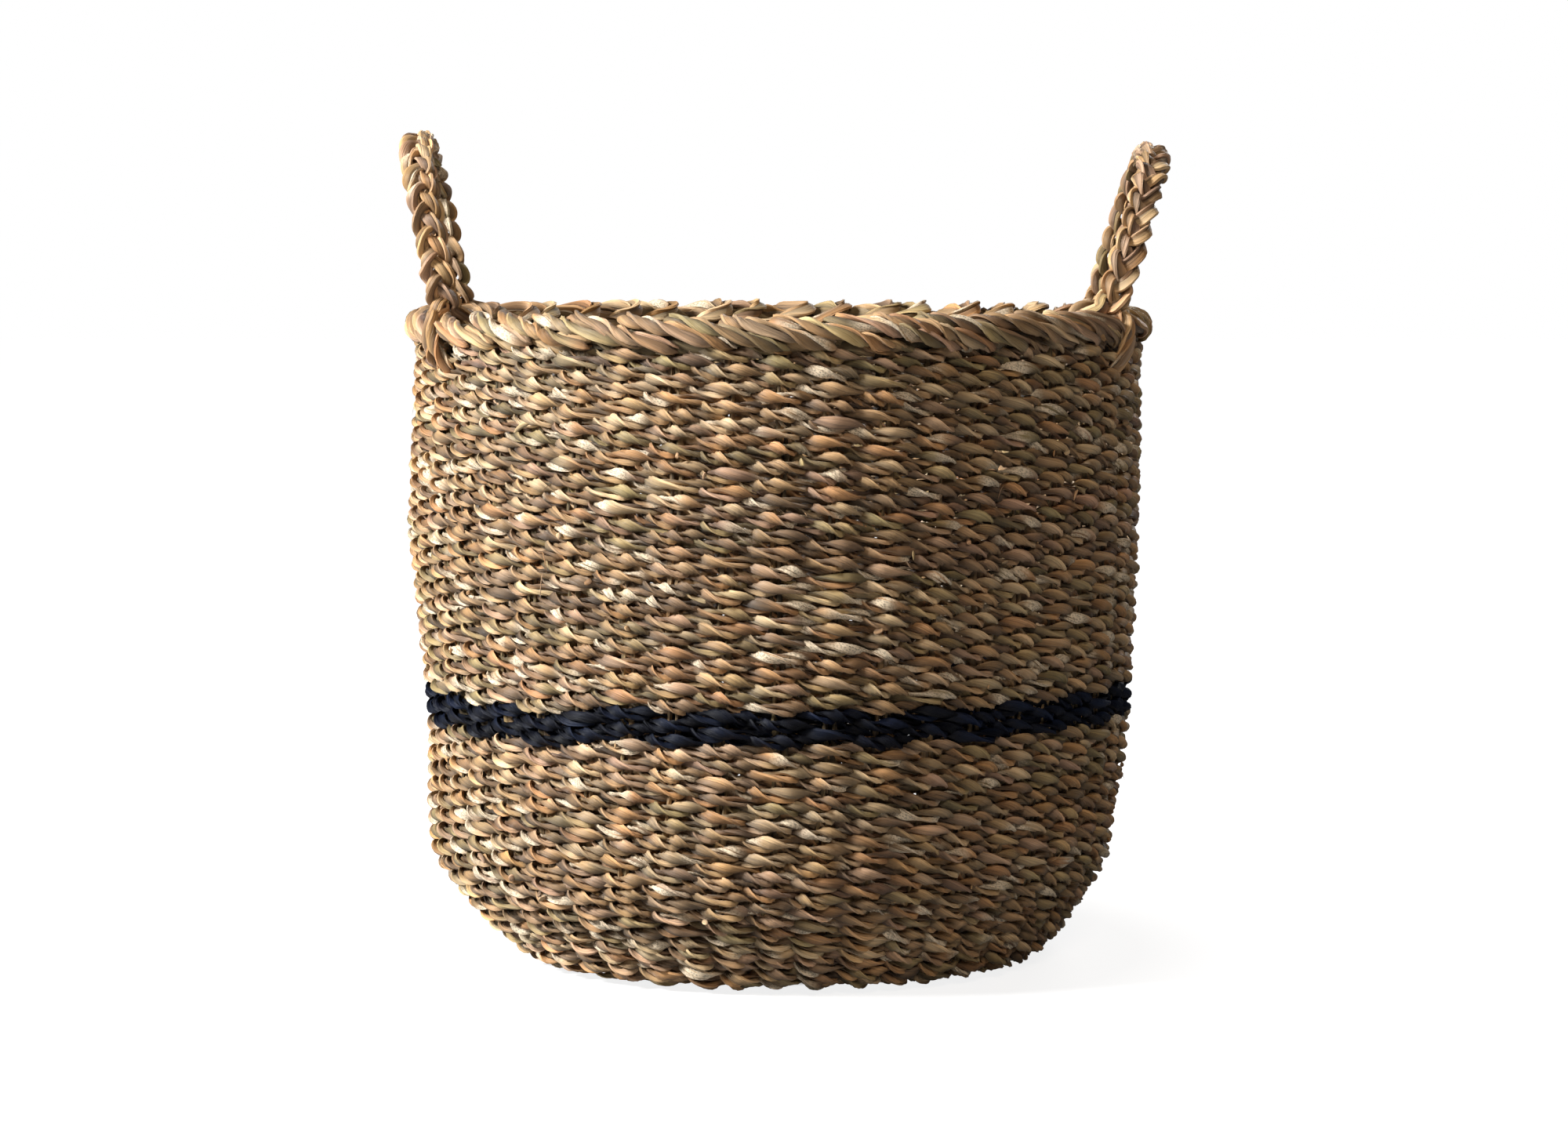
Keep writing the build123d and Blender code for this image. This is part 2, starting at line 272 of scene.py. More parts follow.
# ---- Camera, light and floor ---------------------------------------------------------------
CAMERA_DISTANCE = 2.25
CAMERA_HEIGHT = 0.401
CAMERA_PITCH = math.radians(4.9)
CAMERA_SHIFT = 3 * MM
SENSOR_MM = 36
LENS_MM = 93.4
LIGHT_TARGET = (0, 0, 0.2)
LIGHTS = (                      # name, place, size, power, colour
    ("key", (-1.72, -0.78, 1.25), 0.6, 99, (1, 1, 1)),
    ("fill", (0.4, -1.8, 1.4), 0.6, 12.5, (1.0, 0.87, 0.74)),
    ("back", (0.9, 1.7, 1.2), 0.8, 16, (1, 1, 1)),
)
WORLD_STRENGTH = 0.02           # on the object; the camera sees 1
FLOOR_HALF_SIZE = 12
FLOOR_DROP = 0.2 * MM
FLOOR_GREY = 0.3
FLOOR_GLOW = (0.84, 1.0)        # near the basket and away from it
FLOOR_GLOW_RADII = (0.20, 0.30)
# painted shade: the floor stops glowing under the basket, inside these radii
FLOOR_DARK_RADII = (0.112, 0.124)
FLOOR_BOUNCE = 0.03             # glow that falls on the basket

# ---- Colours (sRGB of the dry plies, with how often each turns up) --------------------------
NATURAL = (
    ((198, 161, 117), 0.32),    # tan
    ((176, 153, 108), 0.14),    # olive
    ((196, 150, 102), 0.15),    # orange brown
    ((197, 161, 129), 0.15),    # pinkish tan
    ((214, 185, 144), 0.13),    # pale straw
    ((156, 126, 95), 0.11),     # grey brown
)
NAVY = (
    ((13, 22, 42), 0.5),
    ((9, 15, 31), 0.3),
    ((19, 30, 54), 0.2),
)
STAKE_COLOURS = (
    ((150, 124, 88), 0.6),
    ((128, 110, 78), 0.4),
)


def linear(srgb):
    value = np.array(srgb, float) / 255
    return np.where(value <= 0.04045, value / 12.92, ((value + 0.055) / 1.055) ** 2.4)


# ---- Outline -------------------------------------------------------------------------------
def outline(distance, depth):
    """Radius, height and outward direction at distances along the outer surface."""
    distance = np.asarray(distance, float)
    corner = np.clip((distance - BASE_END) / CORNER_RADIUS, 0, math.pi / 2 - WALL_LEAN)
    wall = np.clip((distance - CORNER_END) / WALL_ARC_RADIUS, 0, WALL_LEAN)
    angle = corner - math.pi / 2 + wall
    radius = np.minimum(distance, BASE_END)
    radius = radius + CORNER_RADIUS * np.sin(corner)
    height = CORNER_RADIUS * (1 - np.cos(corner))
    sagging = np.minimum(corner / SAG_ANGLE, 1)
    height = height - SAG_HEIGHT * (sagging**2 - sagging**4)
    on_wall = distance > CORNER_END
    radius = np.where(
        on_wall, BELLY_RADIUS - WALL_ARC_RADIUS * (1 - np.cos(WALL_LEAN - wall)), radius
    )
    height = np.where(
        on_wall, UPRIGHT_Z - WALL_ARC_RADIUS * np.sin(WALL_LEAN - wall), height
    )
    height = height + np.maximum(distance - WALL_ARC_END, 0)
    out = np.stack([np.cos(angle), np.sin(angle)], -1)
    return radius - depth * out[..., 0], height - depth * out[..., 1], out


def distance_at_height(height):
    if height >= UPRIGHT_Z:
        return WALL_ARC_END + height - UPRIGHT_Z
    angle = math.asin((height - UPRIGHT_Z) / WALL_ARC_RADIUS)
    return CORNER_END + WALL_ARC_RADIUS * (angle + WALL_LEAN)


def around_axis(radius, height, theta):
    radius, height, theta = np.broadcast_arrays(radius, height, theta)
    return np.stack([radius * np.cos(theta), radius * np.sin(theta), height], -1)


def hump(height, centre, spread):
    """1 at a height, falling away smoothly above and below it."""
    return np.exp(-(((height - centre) / spread) ** 2))


def hand_made(points):
    """The tub's own unevenness: a squarish base, a lean low down and a bulge on the left."""
    height = points[:, 2]
    theta = np.arctan2(points[:, 1], points[:, 0])
    radius = np.maximum(np.hypot(points[:, 0], points[:, 1]), 1 * MM)
    shaped = (1 - SHAPING_START) * BASE_END
    share = np.clip((radius - SHAPING_START * BASE_END) / shaped, 0, 1)
    flattening = FLATTENING * hump(height, FLATTENING_HEIGHT, FLATTENING_SPREAD)
    growth = BASE_GROWTH * (1 - np.cos(2 * theta)) - BASE_SQUARENESS * np.cos(4 * theta)
    growth = growth * hump(height, 0, BASE_SPREAD)
    grow = 1 + share * (growth - flattening / radius)
    shift = LOW_SHIFT * hump(height, LOW_SHIFT_HEIGHT, LOW_SHIFT_SPREAD)
    shift = shift + share * BASE_SHIFT * hump(height, 0, BASE_SHIFT_SPREAD)
    left = np.clip(-np.cos(theta), 0, 1)
    shift = shift - left * LEFT_BULGE * hump(height, LEFT_BULGE_HEIGHT, LEFT_BULGE_SPREAD)
    grown = points * np.stack([grow, grow, np.ones_like(grow)], -1)
    return grown + np.outer(shift, (1, 0, 0))


# ---- Rope geometry -------------------------------------------------------------------------
def unit(vectors):
    return vectors / np.maximum(np.linalg.norm(vectors, axis=-1, keepdims=True), 1e-12)


def running_length(points):
    steps = np.linalg.norm(np.diff(points, axis=0), axis=1)
    return np.concatenate([[0.0], np.cumsum(steps)])


def wander(length, wavelength, rng):
    """Smooth noise of about unit size along a length."""
    total = np.zeros_like(length)
    for octave, share in WANDER_OCTAVES:
        phase = rng.uniform(0, 2 * math.pi)
        stretch = rng.uniform(*WANDER_STRETCH)
        total += share * np.sin(2 * math.pi * octave * stretch * length / wavelength + phase)
    return total


def ply_colours(length, palette, rng):
    """Colour along one ply: a new leaf every so often, with a short blend between leaves."""
    shortest, longest = LEAF_LENGTHS
    colours = np.array([linear(colour) for colour, share in palette])
    shares = np.array([share for colour, share in palette])
    count = int(length[-1] / shortest) + 3
    ends = np.cumsum(rng.uniform(shortest, longest, count)) - rng.uniform(0, longest)
    picks = colours[rng.choice(len(colours), count + 1, p=shares / shares.sum())]
    picks = picks * rng.normal(1.0, LEAF_SHADE_SPREAD, (count + 1, 1)).clip(*LEAF_SHADE_LIMITS)
    picks = picks * rng.normal(1.0, LEAF_HUE_SPREAD, (count + 1, 3))
    leaf = np.searchsorted(ends, length)
    leaf = np.minimum(leaf, count)
    blend = np.clip((ends[np.minimum(leaf, count - 1)] - length) / LEAF_BLEND, 0, 1)[:, None]
    following = picks[np.minimum(leaf + 1, count)]
    return picks[leaf] * blend + following * (1 - blend)


def pith_mask(length, rng, share):
    """Where a ply shows its pale spongy inside: short patches here and there."""
    mask = np.zeros_like(length)
    count = rng.poisson(length[-1] * share / PITH_PATCH)
    for centre in rng.uniform(0, length[-1], count):
        half = PITH_PATCH * rng.uniform(*PITH_PATCH_SPREAD)
        patch = np.clip(PITH_EDGE * (1 - np.abs(length - centre) / half), 0, 1)
        mask = np.maximum(mask, patch)
    return mask


def ply(path, out, twist, offset, half_width, half_depth, palette, rng, pith, shade=1.0,
        pinch=1.0):
    """One ply: a flattened tube that winds about a path.  Returns its mesh arrays."""
    count = len(path)
    pinch = np.broadcast_to(pinch, (count,))
    length = running_length(path)
    tangent = unit(np.gradient(path, axis=0))
    out = unit(out - (out * tangent).sum(-1, keepdims=True) * tangent)
    side = np.cross(tangent, out)
    cos_twist = np.cos(twist)[:, None]
    sin_twist = np.sin(twist)[:, None]
    away = cos_twist * out + sin_twist * side
    across = -sin_twist * out + cos_twist * side
    raised = math.cos(PLY_TILT) * across + math.sin(PLY_TILT) * away
    swell = 1 + SWELL * wander(length, SWELL_LENGTH, rng)
    squash = 1 + SQUASH * wander(length, SQUASH_LENGTH, rng)
    ends = np.minimum(np.arange(count), np.arange(count)[::-1])
    taper = np.clip((ends + TAPER_START) / TAPER_RINGS, TAPER_LEAST, 1.0)
    width = (half_width * swell * taper * pinch)[:, None, None]
    depth = (half_depth * swell * squash * taper)[:, None, None]
    phi = 2 * math.pi * (np.arange(SIDES) + 0.5) / SIDES
    # a folded leaf: full in the middle and thin at its two edges
    cos_phi = np.cos(phi)[None, :, None]
    sin_phi = np.sin(phi)[None, :, None]
    middle = path + away * (offset * pinch)[:, None]
    rings = middle[:, None, :] + depth * cos_phi * away[:, None, :]
    rings = rings + width * sin_phi * raised[:, None, :]
    seed = rng.uniform(0, FIBRE_SEED_RANGE)
    fibre = np.empty((count, SIDES, 3))
    fibre[..., 0] = np.cos(phi)[None, :] + seed
    fibre[..., 1] = np.sin(phi)[None, :]
    fibre[..., 2] = length[:, None] / FIBRE_UNIT + seed * 3
    # painted shade: a woven cord is darker where it dives between the stakes
    colours = ply_colours(length, palette, rng) * np.broadcast_to(shade, (count,))[:, None]
    # painted shade along each leaf's tucked edge, under the next leaf
    tint = colours[:, None, :] * (1 - EDGE_SHADE * np.maximum(-sin_phi, 0))
    mask = np.repeat(pith_mask(length, rng, pith)[:, None], SIDES, 1)
    return {
        "verts": rings.reshape(-1, 3),
        "faces": tube_faces(count),
        "fibre": fibre.reshape(-1, 3),
        "tint": tint.reshape(-1, 3),
        "pith": mask.reshape(-1),
    }


def tube_faces(count):
    """Quads of a tube of rings, with two quads closing each end."""
    ring = np.arange(SIDES)
    following = (ring + 1) % SIDES
    base = (np.arange(count - 1) * SIDES)[:, None]
    walls = np.stack(
        [base + ring, base + following, base + SIDES + following, base + SIDES + ring], -1
    ).reshape(-1, 4)
    cap = np.array([[0, 1, 2, 5], [2, 3, 4, 5]])  # a six-sided end
    last = (count - 1) * SIDES
    return np.concatenate([walls, cap[:, ::-1], cap + last])


def cord(path, out, start_twist, palette, rng, plies=2, pitch=CORD_TWIST, offset=PLY_OFFSET,
         half_width=PLY_HALF_WIDTH, half_depth=PLY_HALF_DEPTH, pith=PITH_SHARE, shade=1.0,
         pinch=1.0):
    """A cord of plies twisted about a path."""
    length = running_length(path)
    twist = start_twist + 2 * math.pi * length / pitch
    twist = twist + TWIST_WANDER * wander(length, TWIST_WANDER_LENGTH, rng)
    return [
        ply(path, out, twist + 2 * math.pi * number / plies, offset, half_width, half_depth,
            palette, rng, pith, shade, pinch)
        for number in range(plies)
    ]


def joined(meshes, key):
    return np.concatenate([mesh[key] for mesh in meshes]).astype(np.float32)


def sharpen_leaves(data):
    """Mark the edges that run along a ply's sharp corners."""
    ends = np.empty(len(data.edges) * 2, np.int32)
    data.edges.foreach_get("vertices", ends)
    corner = ends.reshape(-1, 2) % SIDES
    along = (corner[:, 0] == corner[:, 1]) & np.isin(corner[:, 0], SHARP_CORNERS)
    sharp = data.attributes.new("sharp_edge", "BOOLEAN", "EDGE")
    sharp.data.foreach_set("value", along)


def add_leaf_attributes(data, meshes):
    """What the materials read: each ply's colour with its painted shade, its fibre coordinates
    and its pith.
    """
    rgba = np.ones((len(data.vertices), 4), np.float32)
    rgba[:, :3] = joined(meshes, "tint")
    tint = data.attributes.new("tint", "FLOAT_COLOR", "POINT")
    tint.data.foreach_set("color", rgba.ravel())
    fibre = data.attributes.new("fibre", "FLOAT_VECTOR", "POINT")
    fibre.data.foreach_set("vector", joined(meshes, "fibre").ravel())
    pith = data.attributes.new("pith", "FLOAT", "POINT")
    pith.data.foreach_set("value", joined(meshes, "pith"))


def make_piece(name, meshes, material, body, nodes):
    """Join mesh arrays into one object that stands for some CAD nodes."""
    verts = joined(meshes, "verts")
    shifts = np.cumsum([0] + [len(mesh["verts"]) for mesh in meshes[:-1]])
    faces = np.concatenate([mesh["faces"] + shift for mesh, shift in zip(meshes, shifts)])
    data = bpy.data.meshes.new(name)
    data.vertices.add(len(verts))
    data.vertices.foreach_set("co", verts.ravel())
    data.loops.add(faces.size)
    data.loops.foreach_set("vertex_index", faces.astype(np.int32).ravel())
    data.polygons.add(len(faces))
    data.polygons.foreach_set("loop_start", np.arange(0, faces.size, 4, dtype=np.int32))
    data.update(calc_edges=True)
    data.polygons.foreach_set("use_smooth", np.ones(len(faces), bool))
    sharpen_leaves(data)
    add_leaf_attributes(data, meshes)
    data.materials.append(material)
    piece = bpy.data.objects.new(name, data)
    bpy.context.collection.objects.link(piece)
    if body:
        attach(piece, body)
    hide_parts(*nodes)
    return piece


# ---- Materials -----------------------------------------------------------------------------
def new_node(tree, kind, **inputs):
    node = tree.nodes.new(kind)
    for name, value in inputs.items():
        node.inputs[name.replace("_", " ")].default_value = value
    return node


def attribute_node(tree, name):
    node = tree.nodes.new("ShaderNodeAttribute")
    node.attribute_name = name
    return node


def ramp_node(tree, factor, low, high, low_value, high_value):
    node = tree.nodes.new("ShaderNodeMapRange")
    node.inputs["From Min"].default_value = low
    node.inputs["From Max"].default_value = high
    node.inputs["To Min"].default_value = low_value
    node.inputs["To Max"].default_value = high_value
    tree.links.new(factor, node.inputs["Value"])
    return node.outputs["Result"]


def scale_colour(tree, colour, factor):
    node = tree.nodes.new("ShaderNodeVectorMath")
    node.operation = "SCALE"
    tree.links.new(colour, node.inputs[0])
    tree.links.new(factor, node.inputs["Scale"])
    return node.outputs["Vector"]


def multiply_colours(tree, first, second):
    node = tree.nodes.new("ShaderNodeVectorMath")
    node.operation = "MULTIPLY"
    tree.links.new(first, node.inputs[0])
    tree.links.new(second, node.inputs[1])
    return node.outputs["Vector"]


def math_node(tree, operation, first, second):
    node = tree.nodes.new("ShaderNodeMath")
    node.operation = operation
    tree.links.new(first, node.inputs[0])
    tree.links.new(second, node.inputs[1])
    return node.outputs["Value"]


def mix_colours(tree, factor, first, second):
    node = tree.nodes.new("ShaderNodeMix")
    node.data_type = "RGBA"
    node.inputs["A"].default_value = (*first, 1)
    node.inputs["B"].default_value = (*second, 1)
    tree.links.new(factor, node.inputs["Factor"])
    return node.outputs["Result"]


def stretched(tree, vector, scales):
    node = tree.nodes.new("ShaderNodeVectorMath")
    node.operation = "MULTIPLY"
    node.inputs[1].default_value = scales
    tree.links.new(vector, node.inputs[0])
    return node.outputs["Vector"]


def fibre_noise(tree, fibre, scales, detail):
    """Noise with its own scale round a ply (twice) and along it."""
    noise = new_node(tree, "ShaderNodeTexNoise", Scale=1.0, Detail=detail,
                     Roughness=NOISE_ROUGHNESS)
    tree.links.new(stretched(tree, fibre, scales), noise.inputs["Vector"])
    return noise.outputs["Fac"]


def leaf_colour(tree, fine, blotch, face, streaks):
    """A ply's tint with streaks, painted shade on one face and painted light on the other, and
    small changes of hue.
    """
    tint = attribute_node(tree, "tint").outputs["Color"]
    streak = ramp_node(tree, fine, *FINE_RANGE, 1 - streaks / 2, 1 + streaks / 2)
    colour = scale_colour(tree, tint, streak)
    colour = scale_colour(tree, colour, ramp_node(tree, face, 0, 1, *FACE_SHADES))
    hue = mix_colours(tree, ramp_node(tree, blotch, *HUE_RANGE, 0, 1), COOL_HUE, WARM_HUE)
    return multiply_colours(tree, colour, hue)


def with_pith(tree, colour, fibre, blotch):
    """Pale, cellular patches with ragged edges, where the pith attribute says so."""
    cells = new_node(tree, "ShaderNodeTexVoronoi", Scale=PITH_CELLS)
    tree.links.new(stretched(tree, fibre, PITH_CELL_STRETCH), cells.inputs["Vector"])
    speckle = ramp_node(tree, cells.outputs["Distance"], *PITH_CELL_RANGE, *PITH_CELL_SHADES)
    pale = tree.nodes.new("ShaderNodeRGB")
    pale.outputs[0].default_value = (*linear(PITH_COLOUR), 1)
    mask = attribute_node(tree, "pith").outputs["Fac"]
    ragged = ramp_node(tree, blotch, *PITH_RAGGED_RANGE, 0.0, 1.0)
    mix = tree.nodes.new("ShaderNodeMix")
    mix.data_type = "RGBA"
    tree.links.new(math_node(tree, "MULTIPLY", mask, ragged), mix.inputs["Factor"])
    tree.links.new(colour, mix.inputs["A"])
    tree.links.new(scale_colour(tree, pale.outputs[0], speckle), mix.inputs["B"])
    return mix.outputs["Result"]


def bumped(tree, height, below=None):
    """Normals raised by a height, on top of another bump's."""
    node = new_node(tree, "ShaderNodeBump", Strength=BUMP_STRENGTH, Distance=BUMP_DISTANCE)
    tree.links.new(height, node.inputs["Height"])
    if below:
        tree.links.new(below, node.inputs["Normal"])
    return node.outputs["Normal"]


def seagrass(name, streaks=0.6, rough=(0.38, 0.72), shine=0.4, sheen=0.08):
    """Dry leaf fibre: streaks along each ply, pale pith patches, a soft waxy shine."""
    material = bpy.data.materials.new(name)
    material.use_nodes = True
    tree = material.node_tree
    shader = tree.nodes["Principled BSDF"]
    fibre = attribute_node(tree, "fibre").outputs["Vector"]
    fine = fibre_noise(tree, fibre, *FINE_NOISE)
    blotch = fibre_noise(tree, fibre, *BLOTCH_NOISE)
    # each leaf is folded: one face has painted shade, the other painted light, and the fold
    # between them is crisp
    fold = fibre_noise(tree, fibre, *FOLD_NOISE)
    face = ramp_node(tree, fold, *FOLD_RANGE, 0.0, 1.0)
    colour = with_pith(tree, leaf_colour(tree, fine, blotch, face, streaks), fibre, blotch)
    tree.links.new(colour, shader.inputs["Base Color"])
    tree.links.new(ramp_node(tree, fine, *FINE_RANGE, *rough), shader.inputs["Roughness"])
    tree.links.new(bumped(tree, fine, bumped(tree, face)), shader.inputs["Normal"])
    shader.inputs["Specular IOR Level"].default_value = shine
    shader.inputs["Sheen Weight"].default_value = sheen
    return material


# ---- Building the weave and stakes ---------------------------------------------------------
def stake_sway(theta, distance):
    """How far the stakes stray sideways, in stake spacings, from their even places."""
    return sum(
        size * np.sin(waves * theta + distance / length) for size, waves, length in STAKE_SWAYS
    )


def weave_path(first_turn, last_turn, start_distance, stakes, steps, rng):
    """Spiral path between two turns; it passes alternately outside and inside the stakes."""
    count = int(round((last_turn - first_turn) * stakes * steps)) + 1
    turn = np.linspace(first_turn, last_turn, count)
    theta = BAND_START - 2 * math.pi * turn
    distance = start_distance + COURSE_PITCH * turn
    share = np.clip((distance - BASE_END) / CORNER_RADIUS, 0, 1)
    depth = WALL_DEPTH / 2 + BASE_LIFT * (1 - share) - WEAVE_RISE * share
    middle_radius = outline(distance, depth)[0]
    spacing = 2 * math.pi * middle_radius / stakes
    swing = np.clip(SWING_SHARE * spacing, LEAST_SWING, WEAVE_SWING)
    length = np.cumsum(np.concatenate([[0.0], -np.diff(theta) * middle_radius[1:]]))
    swing = swing * (1 + SWING_WANDER * wander(length, SWING_WANDER_LENGTH, rng))
    stake = (theta - FRONT) * stakes / (2 * math.pi) - stake_sway(theta, distance)
    wave = np.cos(math.pi * stake)
    depth = depth - swing * wave * (1 + FLOAT_FLATNESS * (1 - wave**2))
    distance = distance + COURSE_WANDER * wander(length, COURSE_WANDER_LENGTH, rng)
    radius, height, out = outline(distance, depth)
    path = hand_made(around_axis(radius, height, theta))
    outward = around_axis(out[:, 0], out[:, 1], theta)
    # painted shade where the cord dives between the stakes
    shade = SHADE_AT_CROSSING + (1 - SHADE_AT_CROSSING) * np.abs(wave)
    pinch = PINCH_AT_CROSSING + (1 - PINCH_AT_CROSSING) * np.abs(wave)
    return path, outward, shade, pinch


def turns_at(distance, start_distance):
    return (distance - start_distance) / COURSE_PITCH


def weave_pieces(materials, rng):
    """The whole spiral, zone by zone.  Turn 0 is where the navy cord starts."""
    start = distance_at_height(BAND_LOW_Z)
    band_end = start + BAND_TURNS * COURSE_PITCH
    top = distance_at_height(WALL_TOP_Z) + COURSE_PITCH / 4
    zones = (
        ("base_inner", FIRST_TURN_RADIUS, ADDED_STAKE_RADIUS, INNER_STAKES, STEPS_PER_STAKE,
         "base_weave", "natural_seagrass", NATURAL),
        ("base_outer", ADDED_STAKE_RADIUS, BASE_END, STAKES, BASE_STEPS_PER_STAKE,
         "base_weave", "natural_seagrass", NATURAL),
        ("corner", BASE_END, CORNER_END, STAKES, STEPS_PER_STAKE,
         "corner_weave", "natural_seagrass", NATURAL),
        ("lower_wall", CORNER_END, start, STAKES, STEPS_PER_STAKE,
         "lower_wall_weave", "natural_seagrass", NATURAL),
        ("navy_band", start, band_end, STAKES, STEPS_PER_STAKE,
         "navy_band_weave", "navy_seagrass", NAVY),
        ("upper_wall", band_end, top, STAKES, STEPS_PER_STAKE,
         "upper_wall_weave", "natural_seagrass", NATURAL),
    )
    for name, low, high, stakes, steps, node, slot, palette in zones:
        first = turns_at(low, start)
        last = turns_at(high, start)
        parts = max(1, math.ceil((last - first) / TURNS_PER_PIECE))
        for part in range(parts):
            begin = first + (last - first) * part / parts
            end = first + (last - first) * (part + 1) / parts
            path, outward, shade, pinch = weave_path(begin, end, start, stakes, steps, rng)
            twist = rng.uniform(0, 2 * math.pi)
            meshes = cord(path, outward, twist, palette, rng,
                          pith=0.0 if palette is NAVY else WEAVE_PITH, shade=shade,
                          pinch=pinch)
            make_piece(f"weave_{name}_{part + 1}", meshes, materials[slot], "basket",
                       [node])


def centre_piece(materials, rng):
    """Two flat coils, under and over the crossing stakes, where the weave begins."""
    meshes = []
    for depth in (COIL_DEPTH, WALL_DEPTH - COIL_DEPTH):
        theta = np.linspace(0, 2 * math.pi * COIL_TURNS, COIL_STEPS)
        radius = COIL_START_RADIUS + COIL_PITCH * theta / (2 * math.pi)
        radius = np.minimum(radius, COIL_END_RADIUS)
        path = around_axis(radius, depth, theta)
        outward = np.tile([0.0, 0.0, -1.0], (COIL_STEPS, 1))
        meshes += cord(path, outward, 0.0, NATURAL, rng)
    make_piece("base_centre_coils", meshes, materials["natural_seagrass"], "basket",
               ["base_centre_wrap"])


def stake_pieces(materials, rng):
    """A pair of cords for each stake, from the base to inside the border."""
    top = distance_at_height(STAKE_TOP_Z)
    main = [number for number in range(STAKES) if number % MAIN_STAKE_EVERY == 0]
    added = [number for number in range(STAKES) if number % MAIN_STAKE_EVERY]
    for name, node, chosen, start in (
        ("main_stake_cords", "main_stakes", main, MAIN_STAKE_START),
        ("added_stake_cords", "added_stakes", added, ADDED_STAKE_RADIUS),
    ):
        meshes = []
        for number in chosen:
            count = int((top - start) / STAKE_STEP)
            distance = np.linspace(start, top, count)
            radius, height, out = outline(distance, WALL_DEPTH / 2)
            even = FRONT + 2 * math.pi * number / STAKES
            theta = even + stake_sway(even, distance) * 2 * math.pi / STAKES
            for side in (-1, 1):
                lean = STAKE_LEAN * wander(distance, STAKE_LEAN_LENGTH, rng)
                shift = (side * STAKE_PAIR_OFFSET + lean) / radius
                path = hand_made(around_axis(radius, height, theta + shift))
                outward = around_axis(out[:, 0], out[:, 1], theta + shift)
                twist = np.linspace(0, STAKE_TWIST * (top - start), count)
                meshes.append(ply(path, outward, twist, 0.0, STAKE_CORD_RADIUS,
                                  STAKE_CORD_RADIUS, STAKE_COLOURS, rng, 0.0))
        make_piece(name, meshes, materials["stake_cord"], "basket", [node])


def loose_ends(materials, rng):
    """Cut stubs where leaves were spliced, and a few stray fibres, all over the wall."""
    low = CORNER_END - LOOSE_REACH_BELOW_WALL
    high = distance_at_height(WALL_TOP_Z)
    for name, total, lengths, radii in (CUT_STUBS, STRAY_FIBRES):
        meshes = []
        for _ in range(total):
            theta = rng.uniform(0, 2 * math.pi)
            distance = rng.uniform(low, high)
            length = rng.uniform(*lengths)
            thick = rng.uniform(*radii)
            along = np.linspace(0, 1, LOOSE_RINGS)
            rise = length * (LOOSE_RISE * along + LOOSE_CURL * along**2 * rng.normal())
            around = length * along * rng.normal(0, LOOSE_SIDEWAYS)
            depth = LOOSE_ROOT_DEPTH - rise * rng.uniform(0.5, 1.0)
            climb = length * (along**2) * rng.normal(*LOOSE_CLIMB)
            radius, height, out = outline(distance + climb, depth)
            turned = theta + around / radius
            path = hand_made(around_axis(radius, height, turned))
            outward = around_axis(out[:, 0], out[:, 1], turned)
            meshes.append(ply(path, outward, 0 * along, 0.0, thick * LOOSE_WIDTH,
                              thick * LOOSE_DEPTH, NATURAL, rng, 0.0))
        make_piece(name, meshes, materials["natural_seagrass"], "basket",
                   ["upper_wall_weave"])


# ---- Building the border -------------------------------------------------------------------
def border_strand_path(number, rng):
    """One strand, from low on the inside over the top to low on the outside."""
    cord_radius = BORDER_PLY_OFFSET + BORDER_PLY_HALF_DEPTH
    half_width = BORDER_BOX[1][0] - MIDDLE_RADIUS - cord_radius + BORDER_SPILL
    half_height = (BORDER_TOP_Z - WALL_TOP_Z) / 2 + BORDER_RAISE
    middle_z = BORDER_TOP_Z - half_height - cord_radius + 2 * BORDER_RAISE
    spacing = 2 * math.pi / STAKES
    along = np.linspace(-1, 1, BORDER_STEPS)
    reach = np.where(along < 0, BORDER_REACH_INSIDE, BORDER_REACH_OUTSIDE)
    reach = reach * (1 + BORDER_UNEVENNESS * rng.normal())
    theta = FRONT + (number + BORDER_UNEVENNESS * rng.normal()) * spacing
    theta = theta + spacing * reach * (np.sqrt(along**2 + BORDER_TURN**2) - BORDER_TURN)
    theta = theta + spacing * BORDER_CROSSING * np.tanh(along / BORDER_CROSSING_LENGTH)
    # angle round the oval: 0 on top, positive towards the outside
    angle = along * BORDER_WRAP * (1 + BORDER_SMALL_UNEVENNESS * rng.normal())
    # strands ride up over their neighbours at the top and tuck in below
    peak = BORDER_PEAK * hump(along, 0, BORDER_CROSSING_LENGTH)
    lift = 1 + peak - BORDER_DROOP * np.abs(along) ** 3
    lift = lift + BORDER_SMALL_UNEVENNESS * rng.normal()
    tuck = 1 - BORDER_TUCK * along**2
    radius = MIDDLE_RADIUS + half_width * np.sin(angle) * tuck
    height = middle_z + half_height * np.cos(angle) * lift
    path = around_axis(radius, height, theta)
    outward = around_axis(np.sin(angle), np.cos(angle), theta)
    return path, outward


def border_piece(materials, rng):
    """Each stake's cord folds over the edge and runs down and along both faces."""
    meshes = []
    for number in range(STAKES):
        path, outward = border_strand_path(number, rng)
        twist = rng.uniform(*BORDER_START_TWIST)
        meshes += cord(path, outward, twist, NATURAL, rng, BORDER_PLIES, BORDER_TWIST,
                       BORDER_PLY_OFFSET, BORDER_PLY_HALF_WIDTH, BORDER_PLY_HALF_DEPTH,
                       BORDER_PITH)
    make_piece("border_folded_strands", meshes, materials["border_seagrass"], "basket",
               ["border_strands"])


